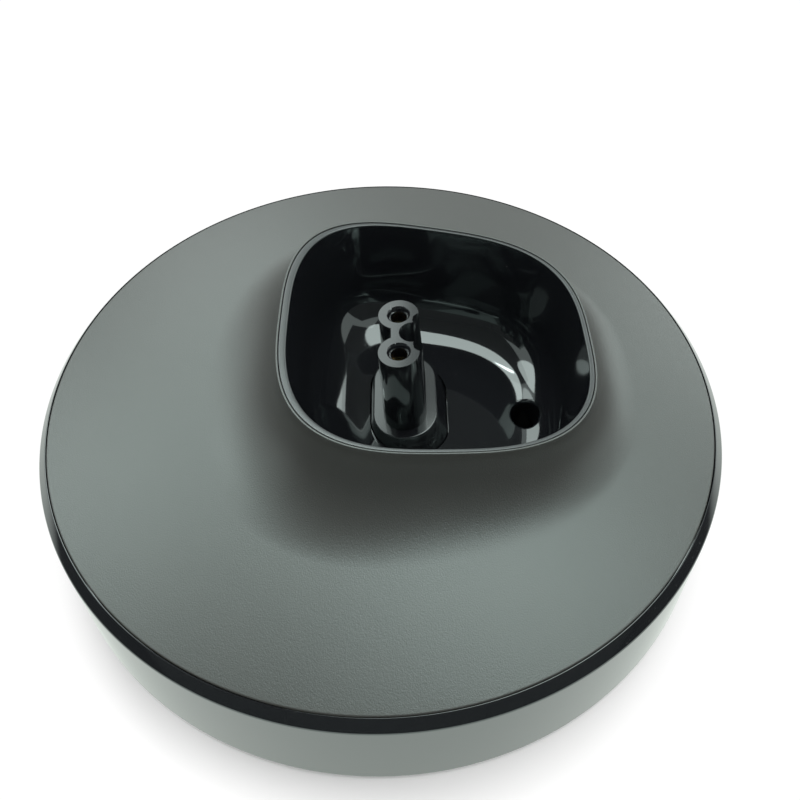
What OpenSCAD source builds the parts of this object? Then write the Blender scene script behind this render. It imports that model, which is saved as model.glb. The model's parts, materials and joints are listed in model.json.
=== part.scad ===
// Shaver charging stand: a weighted round base with a leaning cradle and a two-hole plug.
// Front is -Y, up is +Z, and the origin is the centre of the base on the table.

/* [Base ring] */
// Diameter of the ring at the shoulder, just below the bevel
shoulder_d = 115; // [112:0.5:124]
// Height of the shoulder above the ring's lower edge
shoulder_h = 17.7; // [16:0.1:19]
// Draft of the ring's outer wall, wider at the table
side_draft = 3.23; // [0:0.01:6]
// Width of the bevel above the shoulder, seen from above
bevel_w = 1.45; // [0.8:0.05:2]
// Wall of the ring at the shoulder
ring_wall = 2; // [1.6:0.1:2.6]
// Radius on the ring's lower edge
ring_edge_r = 0.6; // [0.3:0.1:1]
// Width of the flat lip that frames the cover
ring_lip = 0.1; // [0.1:0.05:0.4]
// Width of the ledge that carries the cover
ledge_w = 2.6; // [2:0.2:4]
// Thickness of that ledge
ledge_t = 1.6; // [1.2:0.1:2.2]

/* [Top cover] */
// Height of the cover's outer edge above the ring's lower edge
cover_edge_h = 19.4; // [19:0.1:22]
// Rise of the dome from its edge to the base axis
dome_rise = 5.5; // [3:0.5:7]
// Wall of the cover
cover_wall = 1.8; // [1.4:0.1:2.2]
// Height of the skirt that drops into the ring
skirt_h = 2; // [1.8:0.2:3]
// Width of the collar's edge around the cradle
collar_edge = 0.3; // [0.2:0.05:0.6]
// Width of the flare at the collar's foot, per millimetre of its height
flare_ratio = 1.15; // [0.9:0.05:1.3]

/* [Cradle] */
// Length of the mouth, front to back
mouth_l = 47.3; // [44:0.1:50]
// Width of the mouth at its middle
mouth_w = 47.4; // [44:0.1:50]
// Narrowing of each side of the mouth per millimetre towards the front
mouth_taper = 0.083; // [0:0.001:0.12]
// Squareness of the mouth: 2 is an ellipse
mouth_square = 2.97; // [2.4:0.01:3.6]
// Distance of the mouth's centre in front of the base axis
mouth_fwd = 9.6; // [6:0.1:12]
// Height of the mouth's centre above the ring's lower edge
mouth_h = 33.3; // [32:0.1:36]
// Slope of the mouth, high at the back
mouth_tilt = 6.85; // [4:0.05:9]
// Depth of the cradle, square to the table
cup_depth = 20.9; // [19:0.1:22]
// Draft of the cradle's walls
cup_draft = 6; // [3:0.5:8]
// Radius between the walls and the floor
cup_fillet = 8.5; // [6:0.5:10]
// Slope of the floor towards the drain, besides the mouth's
floor_fall = 1.6; // [0:0.1:2]
// Squareness of the floor
floor_square = 2.6; // [2.2:0.1:3.2]
// Width of the cradle's lip at the sides
lip_w = 0.6; // [0.5:0.05:1]
// Width of the lip at the front
lip_front = 0.75; // [0.5:0.05:1.2]
// Width of the lip at the back
lip_back = 1.1; // [0.7:0.05:1.4]
// Drop of the lip below the edge of the collar
lip_drop = 0.1; // [0:0.05:0.2]
// Wall of the cradle below its lip
cup_wall = 1.6; // [1.5:0.1:2]
// Bore of the drain
drain_d = 5.8; // [4:0.1:6]
// Distance of the drain in front of the base axis
drain_fwd = 26; // [24:0.2:27]
// Wall of the drain spout
spout_wall = 1.2; // [1:0.1:1.6]
// Height of the cradle's ears above the table
ear_z = 16; // [15:0.5:17]
// Thickness of the ears
ear_t = 1.8; // [1.4:0.2:2.2]
// Distance of the ear screws from the middle plane
ear_x = 36; // [35:0.5:37]
// Distance between the two screws of one ear
ear_pitch = 18; // [14:1:20]

/* [Connector] */
// Distance of the plinth's centre in front of the base axis
plug_fwd = 4.15; // [3:0.05:6]
// Height of the plinth's top above the ring's lower edge
plinth_top_h = 16.1; // [15.8:0.1:16.6]
// Lean of the connector towards the back
plug_lean = 3.6; // [0:0.2:5]
// Height of the post above the plinth
post_h = 15.9; // [12:0.1:16.2]
// Draft of the post, wider at the plinth
post_draft = 1.5; // [0:0.1:2]
// Distance between the two contact holes
pin_pitch = 8.2; // [8:0.1:8.8]
// Diameter of each barrel at the top of the post
barrel_d = 6.6; // [6.2:0.1:7.2]
// Contact hole in the post
hole_d = 3.2; // [3:0.1:3.6]
// Chamfer at the mouth of each hole
hole_chamfer = 0.25; // [0.1:0.05:0.4]
// Width of the web between the barrels
web_w = 1.5; // [1.2:0.1:2]
// Distance of the web behind the line of the holes
web_back = 0.5; // [0.2:0.1:0.8]
// Depth of the key notch below the top of the post
key_depth = 9; // [6:0.5:12]
// Radius of the notch's round middle
key_mid_r = 2.15; // [1.8:0.05:2.3]
// Distance of that middle in front of the line of the holes
key_mid_fwd = 2.2; // [2.15:0.05:2.6]
// Radius of the bite the notch takes out of each barrel
key_bite_r = 1.5; // [1:0.1:1.6]
// Distance of the bites in front of the line of the holes
key_bite_fwd = 3.75; // [3.6:0.05:4]
// Distance of the bites from the middle plane
key_bite_x = 2.75; // [2.5:0.05:3]
// Radius at the round ends of the plinth's top
plinth_r = 5.5; // [5:0.1:6]
// Length of the plinth's straight sides
plinth_flat = 7.7; // [7:0.1:8.6]
// Draft of the plinth's sides
plinth_draft = 21; // [15:1:24]
// Depth of the drafted part of the plinth
plinth_h = 4.6; // [4.4:0.1:5]
// Rim of the mounting flange outside the plinth
flange_rim = 1.9; // [1.6:0.1:2.4]
// Thickness of the flange
flange_t = 1.4; // [1.2:0.1:1.6]
// Thickness of the squeezed seal
seal_t = 0.5; // [0.4:0.1:0.8]
// Thickness of the contact bracket
bracket_t = 1.2; // [1:0.1:1.4]
// Depth of the mounting pad's face below the top of the plinth
pad_depth = 6.7; // [6.7:0.1:7]
// Distance of the bracket screws from the middle plane
lug_x = 15; // [14.5:0.25:15.5]
// Radius of the lugs that take those screws
lug_r = 3.2; // [3:0.1:3.4]

/* [Contacts and inlet] */
// Bore of a contact sleeve, which fits the shaver's pin
socket_d = 2.5; // [2.3:0.1:2.6]
// Depth of the sleeve's mouth below the top of the post
socket_recess = 3.4; // [1.5:0.1:4]
// Length of the sleeve's bore
socket_l = 11; // [8:0.5:12]
// Diameter of a contact's solder tail
tail_d = 1.8; // [1.6:0.1:2]
// Reach of the tail below the bracket
tail_l = 1.2; // [1:0.1:1.3]
// Height of the inlet's centre above the table
inlet_z = 9.2; // [9.2:0.1:9.4]
// Recess of the inlet's face behind the ring's outer wall
inlet_recess = 0.92; // [0.8:0.02:1.4]
// Depth of the inlet's socket
inlet_depth = 8.5; // [7:0.5:9]
// Room around the plug in the inlet
plug_room = 0.3; // [0.2:0.05:0.4]
// Wall around the inlet's socket
inlet_wall = 1.6; // [1.4:0.1:1.8]
// Radius of the key rib in the inlet
inlet_key_r = 1.5; // [1:0.1:1.6]
// Diameter of an inlet pin's free end
inlet_pin_d = 2.4; // [2.2:0.1:2.5]
// Diameter of the pin's shank in the housing's back wall
pin_shank_d = 3; // [2.8:0.1:3.2]
// Distance from the inlet's face in to the tips of the pins
pin_recess = 2.5; // [2:0.5:4]
// Diameter of an insulated lead
lead_d = 1.4; // [1.2:0.1:1.4]
// Bend radius of the leads
lead_bend = 1.5; // [1.4:0.05:1.5]

/* [Bottom] */
// Height of the feet below the ring
foot_h = 0.8; // [0.6:0.1:1.2]
// Recess of the bottom plate inside the ring's lower edge
plate_recess = 0.3; // [0.1:0.1:0.5]
// Thickness of the bottom plate
plate_t = 2.2; // [2:0.1:2.2]
// Diameter of a foot pad
foot_d = 11; // [9.6:0.2:12]
// Depth to which a foot pad is let into the plate
foot_let_in = 0.7; // [0.5:0.1:0.9]
// Distance from the ring's bore in to the middle of the feet
foot_inset = 11.5; // [10.5:0.25:12]
// Room between the steel weight and the screw bosses round it
weight_room = 0.65; // [0.4:0.05:2]
// Inner diameter of the steel weight
weight_bore = 40; // [39:0.5:42]
// Thickness of the steel weight
weight_t = 5; // [4:0.25:5]
// Width of the slot that lets the leads through the weight
lead_slot = 16; // [14:0.5:18]

/* [Hidden] */
$fn = 96;

// Points round each lofted ring
sides = 80;
// Visible seam between two fixed shells
seam = 0.1;
// Room around a part that passes through another
room = 0.15;
// Radial fit of a screw or contact in its hole
fit = 0.05;
// Thread diameters, head sizes and boss wall
screw_d = 2.9;
screw_head_d = 5.4;
screw_head_h = 1.7;
small_screw_d = 2.2;
small_head_d = 4;
small_head_h = 1.2;
washer_head_d = 8;
boss_wall = 2;
// Screw lengths under the head, grip in the cradle's pad, and room past a screw's tip
housing_screw_l = 10;
weight_screw_l = 4;
lug_bite = 2.2;
tip_room = 0.2;
// Width of a screw's cross slot, and its length as a share of the head
drive_w = 0.6;
drive_share = 0.6;
// Depth at which a boss ends under the cover's outer face, and its solid end
skin = 0.45;
ear_skin = 1;
// Overlap of the bottom plate and the step in the ring
plate_seat = 0.75;
// Collar that keeps a contact from pulling out, and the one on an inlet pin
stop_d = 4.3;
stop_t = 1;
pin_stop_w = 0.5;
pin_stop_t = 0.8;
// Swelling of a lead's bends, and the lap of its straights into them
lead_swell = 0.02;
lead_lap = 0.1;
// Guide ribs for the leads
rib_t = 1.6;
rib_h = 1.9;
rib_y = [22, 29, 36];
rib_gap = 1;
// Inlet flange and back wall, pin tails, and the posts that trap the flange against the ring
inlet_flange_w = 24;
inlet_flange_t = 1.5;
inlet_rim = 0.4;
inlet_back = 2;
inlet_tail = 2;
stay_w = 2;
stay_h = 7;

ring_top = foot_h + cover_edge_h;
ledge_z = ring_top - skirt_h;
plate_z = foot_h + plate_recess;
plate_top = plate_z + plate_t;
foot_top = plate_z + foot_let_in;
head_seat = foot_top + screw_head_h + room;
boss_z = head_seat + boss_wall;
boss_r = screw_d / 2 + boss_wall;
plate_boss_r = screw_head_d / 2 + room + boss_wall;
weight_boss_r = small_screw_d / 2 + boss_wall;
base_r = shoulder_d / 2 + shoulder_h * tan(side_draft);
ring_bore = shoulder_d - 2 * ring_wall;
plate_d = ring_bore + 2 * plate_seat;
cover_r = shoulder_d / 2 - bevel_w - ring_lip - seam;
foot_r = ring_bore / 2 - foot_inset;
weight_r = foot_r - plate_boss_r - weight_room;
weight_screw_r = (weight_bore / 2 + weight_r) / 2;
inlet_face = shoulder_d / 2 + (foot_h + shoulder_h - inlet_z) * tan(side_draft) - inlet_recess;
slope = tan(mouth_tilt);
lip_extra = (lip_front + lip_back) / 2 - lip_w;
lip_shift = (lip_back - lip_front) / 2;
plinth_foot_r = plinth_r + plinth_h * tan(plinth_draft);
flange_r = plinth_foot_r + flange_rim;
seal_z = -pad_depth - seal_t;
flange_z = seal_z - flange_t;
bracket_z = flange_z - bracket_t;
tail_z = bracket_z - tail_l;
plug_l = pin_pitch + barrel_d;
post_foot_r = barrel_d / 2 + post_h * tan(post_draft);
inlet_w = plug_l + 2 * (plug_room + inlet_wall);
inlet_h = barrel_d + 2 * (plug_room + inlet_wall);
inlet_flange_r = inlet_h / 2 + inlet_rim;
inlet_flange_y = sqrt(pow(ring_bore / 2, 2) - pow(inlet_flange_w / 2, 2)) - room;
inlet_end = inlet_face - inlet_depth - inlet_back;
pin_end = inlet_end - inlet_tail;
spout_r = drain_d / 2 + spout_wall;
lead_z = plate_top + lead_d / 2 + 0.2;
weight_top = plate_top + weight_t;
weight_screw_at = [for (side = [0, 180], turn = [-30, 30]) side + turn];
foot_at = [for (i = [0 : 3]) 45 + 90 * i];

// Height of the mouth's plane over a point at y, and of the bare dome at radius r
function mouth_z(y) = foot_h + mouth_h + slope * (y + mouth_fwd);
function dome_z(r) = ring_top + dome_rise * (1 - pow(r / cover_r, 2));
function mix(a, b, t) = a + (b - a) * t;

// Point of a rounded square at angle th: half-length a, half-width b, taper k, squareness e, and
// its centre fwd in front of the base axis
function square_pt(th, a, b, k, e, fwd) =
    let (r = pow(pow(abs(cos(th)) / a, e) + pow(abs(sin(th)) / b, e), -1 / e), u = r * cos(th))
    [r * sin(th) * (1 - k * u / b), -fwd - u];

// Point at angle th, a distance off outside the mouth; the lip is wider at its front and back
function mouth_pt(th, off, e) = let (k = max(0, min(1, off / lip_w)))
    square_pt(th, mouth_l / 2 + off + k * lip_extra, mouth_w / 2 + off, mouth_taper, e,
        mouth_fwd - k * lip_shift);

// Height and width of the collar's flare at angle th
function flare_h(th) = let (p = mouth_pt(th, collar_off, mouth_square))
    mouth_z(p[1]) - dome_z(norm(p));
function flare_w(th) = flare_ratio * flare_h(th);

// Point of the flare at angle th and sweep q, with t as the distance behind the outer face
function flare_pt(th, q, t) =
    let (w = flare_w(th), h = flare_h(th), off = w - (w + t) * sin(q),
         p = mouth_pt(th, collar_off + off, mix(foot_square, mouth_square, min(1, 1 - off / w))))
    [p[0], p[1], dome_z(norm(p)) + h - (h + t) * cos(q)];

// Point of the dome at angle th, a share s of the way from the flare's foot to radius r_end
function dome_pt(th, s, r_end, t) =
    let (o = collar_off + flare_w(th),
         p = square_pt(th, mix(mouth_l / 2 + lip_extra + o, r_end, s), mix(mouth_w / 2 + o, r_end, s),
             mix(mouth_taper, 0, s), mix(foot_square, 2, s), mix(mouth_fwd - lip_shift, 0, s)))
    [p[0], p[1], dome_z(norm(p)) - t];

// Sweep at which the flare's inner face meets the collar's bore
function bore_sweep(th) = let (w = flare_w(th)) asin((w + collar_edge) / (w + cover_wall));

collar_off = lip_w + seam + collar_edge;
foot_square = 2.35;
turns = [for (i = [0 : sides - 1]) 360 * i / sides];
flare_steps = 8;
dome_steps = 4;

function collar_ring(off) = [for (th = turns) let (p = mouth_pt(th, off, mouth_square))
    [p[0], p[1], mouth_z(p[1])]];
function round_ring(r, z) = [for (th = turns) [r * sin(th), -r * cos(th), z]];

// Cross-section of the cover, ring by ring from the collar's edge out, under and back
cover_rings = concat(
    [collar_ring(lip_w + seam)],
    [for (i = [0 : flare_steps]) [for (th = turns) flare_pt(th, 90 * (1 - i / flare_steps), 0)]],
    [for (i = [1 : dome_steps]) [for (th = turns) dome_pt(th, i / dome_steps, cover_r, 0)]],
    [round_ring(cover_r, ledge_z), round_ring(cover_r - cover_wall, ledge_z)],
    [for (i = [dome_steps : -1 : 1])
        [for (th = turns) dome_pt(th, i / dome_steps, cover_r - cover_wall, cover_wall)]],
    [for (i = [0 : flare_steps])
        [for (th = turns) flare_pt(th, bore_sweep(th) * i / flare_steps, cover_wall)]]
);

// Cradle section: centre of the fillet, as an inset from the mouth and a depth
fillet_deep = cup_depth - cup_fillet;
fillet_in = tan(cup_draft) * (fillet_deep + cup_fillet * sin(cup_draft)) + cup_fillet * cos(cup_draft);
fillet_steps = 7;

// Ring of the cradle at an inset from the mouth and a depth below its plane
function cup_ring(inset, deep) =
    let (e = mix(mouth_square, floor_square, max(0, inset / fillet_in)))
    [for (th = turns) let (p = mouth_pt(th, -inset, e), fall = tan(floor_fall) * (p[1] + plug_fwd))
        [p[0], p[1], mouth_z(p[1]) - deep * (1 - fall / cup_depth)]];

// Rings of the cradle's face, from its top down to the floor, t behind the inner face
function cup_face(t) = [for (i = [0 : fillet_steps])
    let (q = mix(cup_draft, 90, i / fillet_steps), r = cup_fillet + t)
    cup_ring(fillet_in - r * cos(q), fillet_deep + r * sin(q))];

// Depth at which the cradle's outer wall leaves the straight lip
lip_deep = (cup_wall / cos(cup_draft) - lip_w) / tan(cup_draft);

function flip(rings) = [for (i = [len(rings) - 1 : -1 : 0]) rings[i]];
function quad(a, b, c, d) = [[a, b, c], [a, c, d]];

// Solid through a list of rings of the same count, closed round or with flat caps
module loft(rings, closed = false) {
    n = len(rings[0]);
    m = len(rings);
    last = closed ? m - 1 : m - 2;
    walls = [for (i = [0 : last], j = [0 : n - 1]) let (k = (j + 1) % n, up = ((i + 1) % m) * n)
        each quad(i * n + j, up + j, up + k, i * n + k)];
    caps = closed ? [] : [[for (j = [0 : n - 1]) j], [for (j = [n - 1 : -1 : 0]) (m - 1) * n + j]];
    polyhedron(points = [for (r = rings) each r], faces = concat(walls, caps));
}

// Flat shape with two round ends, r in radius, and a straight part of length flat
module slot2d(r, flat) {
    square([flat, 2 * r], center = true);
    for (s = [-1, 1]) translate([s * flat / 2, 0]) circle(r);
}

// Drafted block with round ends: radius r at the top, z = 0, and depth h below it
module drafted_slot(r, flat, h, draft) {
    foot = r + h * tan(draft);
    rotate([90, 0, 90]) linear_extrude(flat, center = true)
        polygon([[-r, 0], [r, 0], [foot, -h], [-foot, -h]]);
    for (s = [-1, 1]) translate([s * flat / 2, 0, -h]) cylinder(h = h, r1 = foot, r2 = r);
}

// Pan head screw: head below z = 0, thread above it
module screw(d, length, head_d, head_h) {
    cylinder(h = length, d = d);
    difference() {
        translate([0, 0, -head_h]) cylinder(h = head_h, d = head_d);
        for (a = [0, 90]) rotate([0, 0, a])
            translate([0, 0, -head_h]) cube([head_d * drive_share, drive_w, head_h], center = true);
    }
}

// Frame of the connector: the top of the plinth, leaning back
module at_plug() {
    translate([0, -plug_fwd, foot_h + plinth_top_h]) rotate([-plug_lean, 0, 0]) children();
}

module at_feet() {
    for (a = foot_at) rotate([0, 0, a]) translate([foot_r, 0, 0]) children();
}

module at_ears() {
    for (s = [-1, 1], t = [-1, 1])
        translate([s * ear_x, -mouth_fwd + t * ear_pitch / 2, 0]) children();
}

module at_weight_screws() {
    for (a = weight_screw_at) rotate([0, 0, a]) translate([weight_screw_r, 0, 0]) children();
}

module at_lugs() {
    for (s = [-1, 1]) translate([s * lug_x, 0, 0]) children();
}

module at_contacts() {
    for (s = [-1, 1]) translate([s * pin_pitch / 2, 0, 0]) children();
}

// Outline shared by the pad, the flange and the bracket
module lug_outline() {
    slot2d(flange_r, plinth_flat);
    slot2d(lug_r, 2 * lug_x);
}

ear_boss_r = small_screw_d / 2 + boss_wall;
ear_top = ear_z + ear_t;
ear_reach = norm([ear_x, mouth_fwd + ear_pitch / 2]);
ear_boss_top = dome_z(ear_reach + ear_boss_r) - skin;
foot_boss_top = dome_z(foot_r + boss_r) - skin;

module top_cover() color([0.2, 0.2, 0.2]) {
    loft(flip(cover_rings), closed = true);
    at_feet() difference() {
        translate([0, 0, boss_z]) cylinder(h = foot_boss_top - boss_z, r = boss_r);
        translate([0, 0, boss_z - 1])
            cylinder(h = foot_boss_top - boss_z + 1 - boss_wall, d = screw_d + 2 * fit);
    }
    at_ears() difference() {
        translate([0, 0, ear_top]) cylinder(h = ear_boss_top - ear_top, r = ear_boss_r);
        translate([0, 0, ear_top - 1])
            cylinder(h = ear_boss_top - ear_top + 1 - ear_skin, d = small_screw_d + 2 * fit);
    }
}

// Ears, drain spout and connector pad, before the cradle's hollow is cut out of them
module cup_outside() {
    translate([0, -mouth_fwd, ear_z]) linear_extrude(ear_t) {
        square([2 * ear_x, ear_pitch + 2 * ear_boss_r], center = true);
        for (s = [-1, 1]) translate([s * ear_x, 0]) rotate(90) slot2d(ear_boss_r, ear_pitch);
    }
    translate([0, -drain_fwd, plate_z]) cylinder(h = cup_depth, r = spout_r);
    at_plug() translate([0, 0, -pad_depth]) linear_extrude(pad_depth) lug_outline();
}

module cradle_cup() color([0.07, 0.07, 0.08]) difference() {
    union() {
        loft(concat(
            flip(cup_face(cup_wall)), [cup_ring(-lip_w, lip_deep), cup_ring(-lip_w, lip_drop)],
            [cup_ring(0, lip_drop)], cup_face(0)));
        difference() {
            cup_outside();
            loft(concat(flip(cup_face(cup_wall / 2)), [cup_ring(0, 0)]));
        }
    }
    translate([0, -drain_fwd, 0]) cylinder(h = mouth_h, d = drain_d);
    at_ears() translate([0, 0, ear_z - 1]) cylinder(h = ear_t + 2, d = small_screw_d + 2 * room);
    at_plug() {
        drafted_slot(plinth_r + room, plinth_flat, plinth_h, plinth_draft);
        translate([0, 0, -pad_depth - 1])
            linear_extrude(pad_depth + 1 - plinth_h) slot2d(plinth_foot_r + room, plinth_flat);
        at_lugs() translate([0, 0, -pad_depth - 1])
            cylinder(h = 1 + lug_bite + tip_room, d = small_screw_d + 2 * fit);
    }
}

module side_ring() color([0.1, 0.1, 0.1]) difference() {
    rotate_extrude() {
        lip_r = cover_r + seam;
        e = ring_edge_r;
        polygon(concat(
            [for (a = [270 : 15 : 360]) [base_r - e + e * cos(a), foot_h + e + e * sin(a)]],
            [[shoulder_d / 2, foot_h + shoulder_h], [lip_r + ring_lip, ring_top], [lip_r, ring_top],
             [lip_r, ledge_z], [ring_bore / 2 - ledge_w, ledge_z],
             [ring_bore / 2 - ledge_w, ledge_z - ledge_t],
             [ring_bore / 2, ledge_z - ledge_t - ledge_w], [ring_bore / 2, plate_top],
             [plate_d / 2 + seam, plate_top], [plate_d / 2 + seam, foot_h]]));
    }
    translate([0, 0, inlet_z]) rotate([-90, 0, 0]) linear_extrude(shoulder_d)
        slot2d(inlet_h / 2 + seam, inlet_w - inlet_h);
}

module bottom_plate() color([0.16, 0.16, 0.17]) difference() {
    union() {
        translate([0, 0, plate_z]) cylinder(h = plate_t, d = plate_d);
        at_feet() translate([0, 0, plate_z]) cylinder(h = boss_z - plate_z, r = plate_boss_r);
        at_weight_screws() translate([0, 0, plate_z])
            cylinder(h = weight_top - plate_z - room, r = weight_boss_r);
        for (y = rib_y) translate([rib_gap - lead_slot / 2, y - rib_t / 2, plate_z])
            cube([lead_slot - 2 * rib_gap, rib_t, plate_t + rib_h]);
        for (s = [-1, 1]) translate([s * (inlet_flange_w - stay_w) / 2, inlet_flange_y
            - inlet_flange_t - rib_t / 2, plate_z])
            translate([-stay_w / 2, -rib_t / 2, 0]) cube([stay_w, rib_t, plate_t + stay_h]);
    }
    at_feet() {
        translate([0, 0, plate_z - 1]) cylinder(h = foot_let_in + 1, d = foot_d + 2 * seam);
        translate([0, 0, plate_z]) cylinder(h = head_seat - plate_z, d = screw_head_d + 2 * room);
        translate([0, 0, plate_z]) cylinder(h = boss_z, d = screw_d + 2 * room);
    }
    at_weight_screws() translate([0, 0, plate_top]) cylinder(h = weight_t, d = small_screw_d + 2 * fit);
    translate([0, -drain_fwd, 0]) cylinder(h = plate_top + 1, r = spout_r + room);
    at_contacts() translate([0, 0, lead_z]) rotate([-90, 0, 0]) linear_extrude(cover_r) {
        circle(d = lead_d + 2 * fit);
        translate([-lead_d / 2 - fit, -rib_h]) square([lead_d + 2 * fit, rib_h]);
    }
}

// Post before its key is cut: two drafted barrels, a web, and a flat flank at the front
module post_body() {
    at_contacts() cylinder(h = post_h, r1 = post_foot_r, r2 = barrel_d / 2);
    rotate([90, 0, 90]) linear_extrude(pin_pitch, center = true)
        polygon([[-post_foot_r, 0], [0, 0], [0, post_h], [-barrel_d / 2, post_h]]);
    translate([-pin_pitch / 2, web_back - web_w / 2, 0]) cube([pin_pitch, web_w, post_h]);
}

// Notch that keys the plug: a round middle and a bite out of each barrel
module key_notch() {
    translate([0, -key_mid_fwd]) circle(key_mid_r);
    translate([-key_mid_r, -barrel_d]) square([2 * key_mid_r, barrel_d - key_mid_fwd]);
    for (s = [-1, 1]) translate([s * key_bite_x, -key_bite_fwd]) circle(key_bite_r);
}

module connector_post() color([0.06, 0.06, 0.07]) at_plug() difference() {
    union() {
        post_body();
        drafted_slot(plinth_r, plinth_flat, plinth_h, plinth_draft);
        translate([0, 0, flange_z]) linear_extrude(-plinth_h - flange_z)
            slot2d(plinth_foot_r, plinth_flat);
        translate([0, 0, flange_z]) linear_extrude(flange_t) lug_outline();
    }
    translate([0, 0, post_h - key_depth]) linear_extrude(key_depth + 1) key_notch();
    at_contacts() {
        translate([0, 0, flange_z - 1]) cylinder(h = post_h - flange_z + 2, d = hole_d);
        translate([0, 0, post_h - hole_chamfer])
            cylinder(h = 2 * hole_chamfer, r1 = hole_d / 2, r2 = hole_d / 2 + 2 * hole_chamfer);
        translate([0, 0, flange_z - 1]) cylinder(h = stop_t + 1, d = stop_d + 2 * fit);
    }
    at_lugs() translate([0, 0, flange_z - 1]) cylinder(h = flange_t + 2, d = small_screw_d + 2 * room);
}

module connector_seal() color([0.12, 0.12, 0.12]) at_plug() translate([0, 0, seal_z])
    linear_extrude(seal_t) difference() {
        lug_outline();
        slot2d(plinth_foot_r + room, plinth_flat);
        at_lugs() circle(d = small_screw_d + 2 * room);
    }

module contact_bracket() color([0.25, 0.25, 0.26]) at_plug() translate([0, 0, bracket_z])
    difference() {
        linear_extrude(bracket_t) lug_outline();
        at_contacts() translate([0, 0, -1]) cylinder(h = bracket_t + 2, d = tail_d + 2 * room);
        at_lugs() translate([0, 0, -1]) cylinder(h = bracket_t + 2, d = small_screw_d + 2 * room);
    }

// Turned contact: a bored sleeve, a stop collar and a solder tail; side is -1 or 1
module contact(side) {
    top = post_h - socket_recess;
    at_plug() translate([side * pin_pitch / 2, 0, 0]) difference() {
        union() {
            translate([0, 0, flange_z]) cylinder(h = top - flange_z, d = hole_d - 2 * fit);
            translate([0, 0, flange_z]) cylinder(h = stop_t - fit, d = stop_d);
            translate([0, 0, tail_z]) cylinder(h = flange_z - tail_z, d = tail_d);
        }
        translate([0, 0, top - socket_l]) cylinder(h = socket_l + 1, d = socket_d);
    }
}

module contact_left() color([0.83, 0.66, 0.3]) contact(-1);
module contact_right() color([0.83, 0.66, 0.3]) contact(1);

module bracket_screws() color([0.6, 0.6, 0.62]) at_plug() at_lugs() translate([0, 0, bracket_z])
    screw(small_screw_d, bracket_t + flange_t + seal_t + lug_bite, small_head_d, small_head_h);

module cradle_screws() color([0.6, 0.6, 0.62]) at_ears() translate([0, 0, ear_z])
    screw(small_screw_d, ear_boss_top - ear_z - ear_skin - tip_room, small_head_d, small_head_h);

module inlet_housing() color([0.09, 0.09, 0.1]) translate([0, 0, inlet_z]) difference() {
    union() {
        translate([0, inlet_end, 0]) rotate([-90, 0, 0])
            linear_extrude(inlet_face - inlet_end) slot2d(inlet_h / 2, inlet_w - inlet_h);
        translate([0, inlet_flange_y - inlet_flange_t, 0]) rotate([-90, 0, 0])
            linear_extrude(inlet_flange_t) slot2d(inlet_flange_r, inlet_flange_w - 2 * inlet_flange_r);
    }
    translate([0, inlet_face - inlet_depth, 0]) rotate([-90, 0, 0])
        linear_extrude(inlet_depth + 1) difference() {
            slot2d(barrel_d / 2 + plug_room, pin_pitch);
            translate([0, -barrel_d / 2 - plug_room]) circle(inlet_key_r);
        }
    at_contacts() translate([0, inlet_end - 1, 0]) rotate([-90, 0, 0])
        cylinder(h = inlet_back + 2, d = pin_shank_d + 2 * fit);
}

// Inlet pin: solder tail, collar behind the housing, shank in its back wall and a free end with a
// rounded tip; side is -1 or 1
module inlet_pin(side) {
    r = inlet_pin_d / 2;
    free_l = inlet_depth - pin_recess - r;
    translate([side * pin_pitch / 2, pin_end, inlet_z]) rotate([-90, 0, 0]) {
        cylinder(h = inlet_tail, d = tail_d);
        translate([0, 0, inlet_tail - pin_stop_t]) cylinder(h = pin_stop_t, r = pin_shank_d / 2 + pin_stop_w);
        translate([0, 0, inlet_tail]) {
            cylinder(h = inlet_back, d = pin_shank_d);
            cylinder(h = inlet_back + free_l, r = r);
            translate([0, 0, inlet_back + free_l]) sphere(r);
        }
    }
}

module inlet_pin_left() color([0.75, 0.75, 0.76]) inlet_pin(-1);
module inlet_pin_right() color([0.75, 0.75, 0.76]) inlet_pin(1);

// Round lead through a list of [straight, turn, radius] steps: it starts along +Z and turns about X
module lead_run(steps, i = 0) {
    if (i < len(steps)) {
        length = steps[i][0];
        turn = steps[i][1];
        r = steps[i][2];
        spin = turn < 0 ? 180 : 0;
        start = i == 0 ? 0 : lead_lap;
        end = turn == 0 ? 0 : lead_lap;
        translate([0, 0, -start]) cylinder(h = length + start + end, d = lead_d);
        if (turn != 0) translate([0, 0, length]) rotate([0, 0, spin]) translate([0, r, 0]) {
            rotate([90, 0, -90]) rotate_extrude(angle = abs(turn))
                translate([r, 0]) circle(d = lead_d + 2 * lead_swell);
            rotate([-abs(turn), 0, 0]) translate([0, -r, 0]) rotate([0, 0, spin])
                lead_run(steps, i + 1);
        }
    }
}

// Lead from the inlet pin, down to the plate, in under the weight's slot and up to the contact
module lead(side) {
    up = tail_z;
    end_y = -plug_fwd + up * sin(plug_lean);
    end_z = foot_h + plinth_top_h + up * cos(plug_lean);
    rise = (end_z - lead_z - lead_bend * (1 + sin(plug_lean))) / cos(plug_lean);
    near_y = end_y + lead_bend * cos(plug_lean) - rise * sin(plug_lean);
    drop = inlet_z - lead_z - 2 * lead_bend;
    lead_in = 2;
    level = pin_end - lead_in - 2 * lead_bend - near_y;
    translate([side * pin_pitch / 2, pin_end, inlet_z]) rotate([90, 0, 0])
        lead_run([[lead_in, -90, lead_bend], [drop, 90, lead_bend], [level, 90 + plug_lean, lead_bend],
            [rise, 0, lead_bend]]);
}

module lead_left() color([0.1, 0.1, 0.6]) lead(-1);
module lead_right() color([0.6, 0.1, 0.1]) lead(1);

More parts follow.
